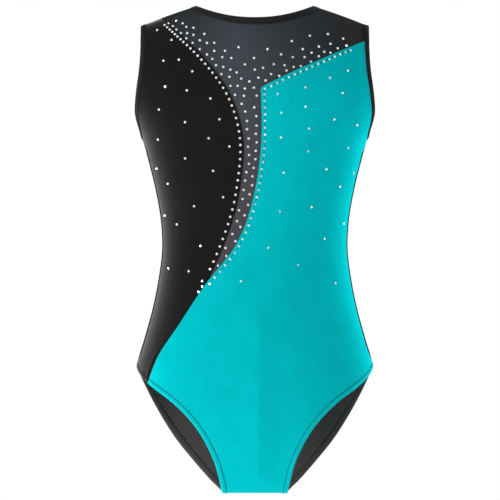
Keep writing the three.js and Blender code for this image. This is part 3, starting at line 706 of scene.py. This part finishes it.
seam_paths = {}
for side, sign in SIDES:
    z = np.linspace(HIP + 10, UNDERARM - 10, FINE)
    seam_paths[f"side_seam_{side}"] = (sign * seam_angle(z), chart(0.0, z)[1])
    x = sign * np.linspace(NECK_HALF + 11, SHOULDER_END - 9, FINE)
    seam_paths[f"shoulder_seam_{side}"] = (np.degrees(np.arcsin(x / smooth(HALF_WIDTH, SHOULDER))),
                                           np.full(FINE, CREST))
x = np.linspace(-27, 27, FINE)
seam_paths["crotch_seam"] = (np.degrees(np.arcsin(x / HALF_WIDTH[0][1])), np.zeros(FINE))
seam_paths["black_to_mesh_seam"] = edge_path(lambda z: smooth(BLACK_EDGE, z), MEET + 17, 519)
seam_paths["black_to_teal_seam"] = edge_path(lambda z: smooth(TEAL_EDGE, z), 137, MEET - 4)
up_edge = edge_path(lambda z: smooth(TEAL_EDGE, z), MEET + 21, TEAL_CORNER[1])
up_top = edge_path(lambda z: smooth(TEAL_TOP, z), TEAL_CORNER[1] + 0.2, 496)
seam_paths["teal_to_mesh_seam"] = tuple(np.concatenate(pair) for pair in zip(up_edge, up_top))

for name, path in seam_paths.items():
    allowance = strip(f"allowance_of_{name}", *even_path(*path, 3.0, False),
                      ALLOWANCE_SECTION, False, [black_wrong])
    loops = overlock(f"overlock_of_{name}", *path, black_thread)
    for piece, slot in ((allowance, "black_knit"), (loops, "black_thread")):
        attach(piece, "root")
        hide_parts(name)

# ==== Gusset lining ==========================================================================
# A tongue of soft cotton jersey lies inside the crotch, over its seam, held at the edges.
GUSSET_HALF, GUSSET_FRONT, GUSSET_BACK = 26.0, 85.0, 75.0
GUSSET_TOP, GUSSET_THICK = -1.9, 0.6


def cotton_jersey(name):
    """Cotton jersey: matt, off-white, with a fine knitted column every 0.8 mm."""
    finish, tree = new_finish(name)
    place = add_node(tree, "ShaderNodeUVMap", {}, uv_map="cloth").outputs["UV"]
    ribs = add_node(tree, "ShaderNodeTexWave", {"Vector": place, "Scale": 0.314 / 0.8,
                    "Distortion": 1.5, "Detail": 2.0}, bands_direction="X")
    grain = add_node(tree, "ShaderNodeTexNoise", {"Vector": place, "Scale": 0.8, "Detail": 3.0})
    shade = add_node(tree, "ShaderNodeMix", {"Factor": grain.outputs["Fac"]}, data_type="RGBA")
    shade.inputs[6].default_value, shade.inputs[7].default_value = linear("#d9d5cb"), linear("#efece4")
    bump = add_node(tree, "ShaderNodeBump", {"Strength": 0.4, "Distance": 0.0002,
                    "Height": ribs.outputs["Fac"]})
    shader = add_node(tree, "ShaderNodeBsdfPrincipled", {"Base Color": shade.outputs[2],
                      "Roughness": 0.95, "Specular IOR Level": 0.1, "Sheen Weight": 0.1,
                      "Normal": bump.outputs["Normal"]})
    add_node(tree, "ShaderNodeOutputMaterial", {"Surface": shader.outputs["BSDF"]})
    return finish


climb = np.linspace(GUSSET_FRONT, -GUSSET_BACK, 60)[:, None]
past = np.maximum(climb - GUSSET_FRONT + 14, -GUSSET_BACK + 14 - climb) / 14
half = GUSSET_HALF * (1 + 0.1 * (climb / GUSSET_FRONT) ** 2)
half = half * np.sqrt(np.clip(1 - 0.85 * np.clip(past, 0, 1) ** 2, 0, 1))
x = half * np.linspace(-1, 1, 29)[None, :]
angle = np.degrees(np.arcsin(x / HALF_WIDTH[0][1]))
climb = np.broadcast_to(climb, angle.shape)
press = 0.28 * ease(1 - (half - np.abs(x)) / 1.6)
jersey = cotton_jersey("white_cotton_jersey")
gusset = cloth("cotton_gusset_lining", angle[::-1], climb[::-1],
               (GUSSET_TOP - press)[::-1], (GUSSET_TOP - GUSSET_THICK + press)[::-1],
               [jersey, jersey])
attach(gusset, "root")
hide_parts("gusset_lining")

# ==== Neck and armhole bindings ==============================================================
# Strips of black knit folded over the raw edges: an outer leaf, a fold and an inner leaf, sewn
# through in one go, so that the outer leaf puffs up a little on each side of its stitching.
NECK_BINDING, ARM_BINDING = 8.0, 6.0
NECK_FRONT_WIDER = 1.28          # it is stretched flatter and wider at the centre front
BINDING_STITCH = 1.5             # from the binding's inner edge


def folded(width):
    stitched = width - BINDING_STITCH
    return [(width, 0.52), (width - 0.1, 0.85), (width - 0.6, 1.05), (stitched, 0.6),
            (stitched - 0.8, 1.05), (width / 2, 1.25), (1.2, 1.1), (0.4, 0.8), (0.0, 0.15),
            (0.2, -0.6), (0.9, -1.1), (stitched, -1.15), (width, -1.05), (width, -0.85),
            (3.0, -0.82), (2.8, 0.0), (3.0, 0.51)]


# A paler copy of the black knit with little sheen: the paler grey is painted light, standing in for the
# highlight along the puffed bindings.
binding_knit_painted_paler = knit("black_binding_knit_paler_painted_light", "#282728", "#201f20", 1.0, 0.3, 0.85, 0.05, "#ffffff")


def neck_loop():
    turn = np.arange(FINE) / FINE * 2 * math.pi
    x = -NECK_HALF * np.cos(turn)
    on_back = turn > math.pi
    front, climb = chart(x, neckline(x, np.where(on_back, NECK_BACK, NECK_FRONT)))
    return np.where(on_back, 180 - front, front), climb


def armhole_loop(sign):
    fall = (1 - np.cos(np.arange(FINE) / FINE * math.pi)) / 2
    z = np.minimum(SHOULDER - (SHOULDER - UNDERARM) * fall, shoulder_line(SHOULDER_END))
    angle, climb = chart(np.minimum(smooth(ARMHOLE, z), smooth(HALF_WIDTH, z)), z)
    angle = np.concatenate([angle, [90.0], 180 - angle[::-1]])
    climb = np.concatenate([climb, [row_at(UNDERARM)], climb[::-1]])
    return sign * angle, climb


def neck_widening(angle, climb):
    x, y, _ = np.moveaxis(surface(angle, climb), -1, 0)
    return 1 + (NECK_FRONT_WIDER - 1) * (y < 0) * ease(1.25 * (1 - np.abs(x) / NECK_HALF))


binding_loops = {"neck_binding": (neck_loop(), mirrored(folded(NECK_BINDING), -1))}
for side, sign in SIDES:
    binding_loops[f"armhole_binding_{side}"] = (armhole_loop(sign),
                                                mirrored(folded(ARM_BINDING), -sign))
for name, (loop, section) in binding_loops.items():
    angle, climb = even_path(*loop, 1.6, True)
    wide = neck_widening(angle, climb) if name == "neck_binding" else 1.0
    binding = strip(f"black_{name}", angle, climb, section, True, [binding_knit_painted_paler, binding_knit_painted_paler], wide)
    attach(binding, "root")
    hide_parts(name)

# ==== Stitching ==============================================================================
# Straight stitches, 2.5 mm long with a small gap between: along the teal panel's turned edges,
# round the leg hems, and through the bindings.
STITCH_PITCH = 3.0
TOPSTITCH = 3.7                  # from the teal panel's folded edge
HEM_STITCH = 5.6                 # from the edge of the leg opening


def sew(name, angle, climb, closed, side, height, radius, finish, widen=None):
    steps = 6
    a, c = even_path(angle, climb, STITCH_PITCH / steps, closed)
    a, c = walk(a, c, to_left(a, c, closed), side * (1.0 if widen is None else widen(a, c)))
    stitches = len(a) // steps
    lift = np.tile([-0.15, 0.06, 0.12, 0.12, 0.06, -0.15], stitches) + height
    keep = slice(0, stitches * steps)
    runs = raised(a[keep], c[keep], lift).reshape(stitches, steps, 3)
    outs = outward(a[keep], c[keep]).reshape(stitches, steps, 3)
    return threads(name, runs, outs, radius, finish)


def sewn(piece, node):
    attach(piece, "root")
    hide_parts(node)


up_edge = edge_path(lambda z: smooth(TEAL_EDGE, z), MEET, TEAL_CORNER[1] - TOPSTITCH)
up_top = edge_path(lambda z: smooth(TEAL_TOP, z), TEAL_CORNER[1] + 2.4, 495)
edge_run = tuple(np.concatenate(pair) for pair in zip(up_edge, up_top))
sewn(sew("teal_edge_stitches", *edge_run, False, -TOPSTITCH, PROUD, 0.3, teal_thread),
     "teal_edge_topstitch")
for side, sign in SIDES:
    teal_top = HIP if sign > 0 else TEAL_HIP
    runs = [("teal", leg_curve(sign, FRONT_LEG, 0.5, teal_top, False), 1),
            ("black_back", leg_curve(sign, BACK_LEG, 0.5, HIP, True), -1)]
    if sign < 0:
        runs.append(("black_hip", leg_curve(sign, FRONT_LEG, TEAL_HIP, HIP, False), 1))
    for part, path, way in runs:
        thread, slot = (teal_thread, "teal_thread") if part == "teal" else (black_thread, "black_thread")
        sewn(sew(f"{part}_leg_hem_stitches_{side}", *path, False, way * sign * HEM_STITCH, 0.6,
                 0.42 if part == "teal" else 0.28, thread), f"leg_hem_stitch_{side}")
for side, sign in SIDES:
    sewn(sew(f"armhole_stitches_{side}", *armhole_loop(sign), True,
             -sign * (ARM_BINDING - BINDING_STITCH), 0.7, 0.4, black_thread),
         f"armhole_topstitch_{side}")
sewn(sew("neck_stitches", *neck_loop(), True, BINDING_STITCH - NECK_BINDING, 0.7, 0.42,
         black_thread, neck_widening), "neck_topstitch")

# ==== Rhinestones ============================================================================
# Flat-backed glass stones, 3 mm across, foiled behind and fused to the cloth with glue: in
# rows along the two turned edges, close together on the mesh, and scattered on the knit.
STONE = 3.0
STONE_HEIGHT = 1.1
FACETS = 8


def foiled_glass(name, colour, dull):
    """Cut glass with a silver foil behind it, so it mirrors like metal. Each stone's colour is
    mixed at random between a duller and a brighter shade: painted glints."""
    finish, tree = new_finish(name)
    body = add_node(tree, "ShaderNodeTexCoord", {}).outputs["Object"]
    # Noise that sets each stone's painted glint, duller or brighter.
    painted_glint_noise = add_node(tree, "ShaderNodeTexNoise", {"Vector": body, "Scale": 300.0, "Detail": 0.0})
    spread = add_node(tree, "ShaderNodeMapRange", {"Value": painted_glint_noise.outputs["Fac"], "From Min": 0.3,
                      "From Max": 0.6})
    shade = add_node(tree, "ShaderNodeMix", {"Factor": spread.outputs["Result"]},
                     data_type="RGBA")
    shade.inputs[6].default_value, shade.inputs[7].default_value = linear(dull), linear(colour)
    shader = add_node(tree, "ShaderNodeBsdfPrincipled", {"Base Color": shade.outputs[2],
                      "Metallic": 0.5, "Roughness": 0.15, "Coat Weight": 0.6,
                      "Coat Roughness": 0.03})
    add_node(tree, "ShaderNodeOutputMaterial", {"Surface": shader.outputs["BSDF"]})
    return finish


def cut_stone():
    """One stone, as points and faces in millimetres: a cone's frustum, its girdle upright and
    its table cut with small facets round it."""
    bpy.ops.mesh.primitive_cone_add(vertices=FACETS, radius1=STONE / 2 * MM,
                                    radius2=STONE * 0.29 * MM, depth=STONE_HEIGHT * MM)
    stone = bpy.context.object
    bpy.ops.object.mode_set(mode="EDIT")
    bpy.ops.mesh.select_all(action="SELECT")
    bpy.ops.mesh.bisect(plane_co=(0, 0, -0.3 * STONE_HEIGHT * MM), plane_no=(0, 0, 1))
    bpy.ops.mesh.select_all(action="DESELECT")
    bpy.ops.object.mode_set(mode="OBJECT")
    points = np.array([v.co[:] for v in stone.data.vertices]) / MM
    points[:, 2] += STONE_HEIGHT / 2
    low = points[:, 2] < 0.01
    points[low, :2] *= 0.97
    middle = (points[:, 2] > 0.01) & (points[:, 2] < STONE_HEIGHT - 0.01)
    points[middle, :2] *= (STONE / 2) / np.linalg.norm(points[middle, :2], axis=1)[:, None]
    faces = [list(face.vertices) for face in stone.data.polygons]
    bpy.data.objects.remove(stone, do_unlink=True)
    return points, faces


stone_points, stone_faces = cut_stone()
setter = np.random.default_rng(11)


def set_stones(name, places, height, finish):
    """Set a group of stones, each at [across, height up], turned and tipped at random."""
    places = np.array(places, float)
    a, c = chart(places[:, 0], places[:, 1])
    out = outward(a, c)
    right = unit(tangents(a, c)[0])
    out = unit(out + setter.uniform(-0.07, 0.07, out.shape))
    up = unit(np.cross(out, right))
    right = np.cross(up, out)
    turn = setter.uniform(0, 2 * math.pi, len(a))[:, None]
    first, second = np.cos(turn) * right + np.sin(turn) * up, np.cos(turn) * up - np.sin(turn) * right
    local = stone_points[None, :, :, None]
    at = raised(a, c, np.full_like(a, height - 0.1))[:, None]
    points = (at + local[:, :, 0] * first[:, None] + local[:, :, 1] * second[:, None]
              + local[:, :, 2] * out[:, None])
    faces = [[v + i * len(stone_points) for v in face]
             for i in range(len(places)) for face in stone_faces]
    piece = make_mesh(name, points.reshape(-1, 3), faces, [finish])
    piece.data.polygons.foreach_set("use_smooth", [False] * len(piece.data.polygons))
    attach(piece, "root")
    return piece


def along_edge(path, side, pitches):
    """Places in from an edge at a given distance, with a pitch that may change along it."""
    a, c = path
    a, c = walk(a, c, to_left(a, c, False), side)
    at = surface(a, c)
    run = np.concatenate([[0], np.cumsum(np.hypot(*np.diff(at[:, [0, 2]], axis=0).T))])
    goals, goal = [], 0.0
    while goal < run[-1]:
        goals.append(goal)
        goal += np.interp(goal, *pitches)
    at = at[np.searchsorted(run, goals)]
    return at[:, [0, 2]].tolist()


crystal = foiled_glass("foil_backed_clear_glass", "#ffffff", "#e4e8ec")
# The stones on the teal take a pale cyan, the duller ones more so: painted reflection of the teal cloth
# round them.
crystal_on_teal = foiled_glass("foil_backed_glass_painted_teal_reflection", "#eefbfd", "#98c8d1")

# Scattered on the black panel, wearer's right, each [across, height].
BLACK_STONES = [[-108, 513], [-92, 502], [-101, 479], [-84, 480], [-69, 467], [-99, 450],
                [-75, 446], [-49, 437], [-106, 425], [-77, 411], [-39, 414], [-107, 392],
                [-51, 393], [-28, 384], [-77, 371], [-46, 357], [-108, 360], [-96, 343],
                [-35, 328], [-67, 318], [-99, 308], [-86, 298], [-60, 274], [-95, 249],
                [-73, 246]]
black_stones = set_stones("rhinestones_on_black", BLACK_STONES, PROUD, crystal)
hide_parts(*[f"rhinestone_{i + 1:02d}" for i in range(len(BLACK_STONES))])

# A row inside the black panel's edge: close at the shoulder, and 9 mm apart at the waist.
black_row_path = edge_path(lambda z: smooth(BLACK_EDGE, z), 520.5, MEET + 3)
ROW_END = [[-58, 235], [-58, 229], [-62, 223]]   # past the end of the mesh, beside the teal
set_stones("rhinestone_row_on_black",
           along_edge(black_row_path, -3.6, ([0, 16, 28, 50, 100, 200, 300],
                                             [3.7, 4.0, 5.1, 6.1, 7.2, 8.0, 9.3])) + ROW_END,
           PROUD, crystal)

# A row inside the teal panel's edges, over its topstitching.
teal_down = edge_path(lambda z: smooth(TEAL_EDGE, z), TEAL_CORNER[1] - 8.0, 233)
teal_across = edge_path(lambda z: smooth(TEAL_TOP, z), TEAL_CORNER[1] + 1.5, 495.5)
set_stones("rhinestone_row_on_teal",
           along_edge(teal_across, -3.9, ([0, 60, 110], [7.4, 7.0, 5.9]))
           + along_edge(teal_down, 3.9, ([0, 100, 200], [7.3, 7.9, 8.9])), PROUD, crystal_on_teal)

# Scattered on the teal panel.
TEAL_STONES = [[103, 468], [83, 460], [56, 449], [97, 443], [25, 442], [56, 428], [29, 421],
               [88, 414], [113, 408], [60, 404], [29, 394], [103, 383], [59, 379], [79, 359],
               [109, 355], [32, 355], [94, 340], [63, 317], [28, 312], [98, 299], [77, 282],
               [15, 272], [48, 253], [-15, 235], [89, 233]]
set_stones("rhinestones_on_teal", TEAL_STONES, PROUD, crystal_on_teal)

# On the mesh yoke: close beside both edges, sparser towards the neck.
YOKE_STONES = [
    [-96, 521], [-91, 518], [-87, 524], [-80, 521], [-76, 517], [-68, 516], [-87, 514],
    [-82, 510], [-75, 510], [-68, 508], [-56, 509], [-76, 504], [-61, 502], [-69, 499],
    [-53, 499], [-45, 499], [-61, 492], [-45, 490], [-33, 490], [-18, 494], [-53, 486],
    [-36, 483], [-26, 482], [-47, 481], [-43, 474], [-35, 472], [-27, 469], [-20, 466],
    [-11, 475], [-1, 482], [14, 492], [-37, 464], [-28, 461], [-15, 459], [-6, 456],
    [0, 469], [9, 471], [4, 460], [12, 457], [18, 464], [21, 475], [29, 486], [41, 501],
    [33, 474], [42, 483], [53, 492], [61, 507], [81, 509], [98, 504], [84, 498], [71, 495],
    [63, 488], [55, 483], [71, 484], [77, 489], [84, 488], [92, 493], [102, 496], [35, 468],
    [43, 472], [51, 473], [62, 478], [27, 462], [-27, 451], [-19, 451], [-11, 448], [-1, 449],
    [-22, 441], [-12, 440], [2, 440]]
# And in a zigzag down the strip between the two edges.
STRIP_STEPS = ([253, 300, 340, 431], [9.8, 7.2, 5.3, 4.5])   # closer together higher up
strip_stones = []
z = 431.0
while z > 252:
    black, teal = float(smooth(BLACK_EDGE, z)), float(smooth(TEAL_EDGE, z))
    share = 0.3 if len(strip_stones) % 2 == 0 else 0.74
    strip_stones.append([black + (teal - black) * share + setter.uniform(-1.2, 1.2), z])
    z -= np.interp(z, *STRIP_STEPS) * setter.uniform(0.85, 1.15)
set_stones("rhinestones_on_mesh", YOKE_STONES + strip_stones, YOKE_TOP, crystal)


# ==== Studio =================================================================================
# White all round and dimmer overhead, with a soft key from the front left and below, and a light
# on each side behind that draws a paler rim down the cloth.
OVERHEAD = 0.42

world = bpy.data.worlds.new("white_studio")
world.use_nodes = True
sky = world.node_tree
ray = add_node(sky, "ShaderNodeTexCoord", {}).outputs["Generated"]
rise = add_node(sky, "ShaderNodeSeparateXYZ", {"Vector": ray}).outputs["Z"]
glow = add_node(sky, "ShaderNodeMapRange", {"Value": rise, "From Min": 0.05, "From Max": 0.5,
                "To Min": 1.0, "To Max": OVERHEAD}).outputs["Result"]
sky.links.new(glow, sky.nodes["Background"].inputs["Strength"])
sky.nodes["Background"].inputs["Color"].default_value = (1, 1, 1, 1)
bpy.context.scene.world = world
bpy.context.scene.view_settings.view_transform = "Standard"


def area_light(name, place, aim, size, power):
    data = bpy.data.lights.new(name, "AREA")
    data.shape, data.size, data.energy = "SQUARE", size, power
    light = bpy.data.objects.new(name, data)
    light.location = place
    light.rotation_euler = (Vector(aim) - Vector(place)).to_track_quat("-Z", "Y").to_euler()
    bpy.context.collection.objects.link(light)


area_light("key_front_left", (-2.1, -2.0, 0.2), (0, 0, -0.3), 1.0, 74)
area_light("rim_left", (-1.55, 1.05, -0.45), (0, 0, -0.3), 1.0, 96)
area_light("rim_right", (1.62, 0.85, 0.15), (0, 0, -0.3), 1.0, 66)

FLOOR = -1.7                     # metres, below every light so that it shades none of them
bpy.ops.mesh.primitive_plane_add(size=40, location=(0, 0, FLOOR))
floor = bpy.context.object
floor.name = "studio_floor"
floor_paint, tree = new_finish("white_matt_floor")
shader = add_node(tree, "ShaderNodeBsdfPrincipled", {"Base Color": (0.95, 0.95, 0.95, 1),
                  "Roughness": 0.9, "Emission Color": (1, 1, 1, 1), "Emission Strength": 0.15})
add_node(tree, "ShaderNodeOutputMaterial", {"Surface": shader.outputs["BSDF"]})
floor.data.materials.append(floor_paint)

CAMERA_FAR = 14.0
VIEW_WIDTH = 0.5555
camera = bpy.data.objects.new("camera", bpy.data.cameras.new("camera"))
bpy.context.collection.objects.link(camera)
bpy.context.scene.camera = camera
camera.data.sensor_width = 36.0
camera.data.lens = camera.data.sensor_width * CAMERA_FAR / VIEW_WIDTH
camera.data.clip_end = 100.0
camera.location = (-0.0054, -CAMERA_FAR, -0.2705)
camera.rotation_euler = (math.pi / 2, 0, 0)
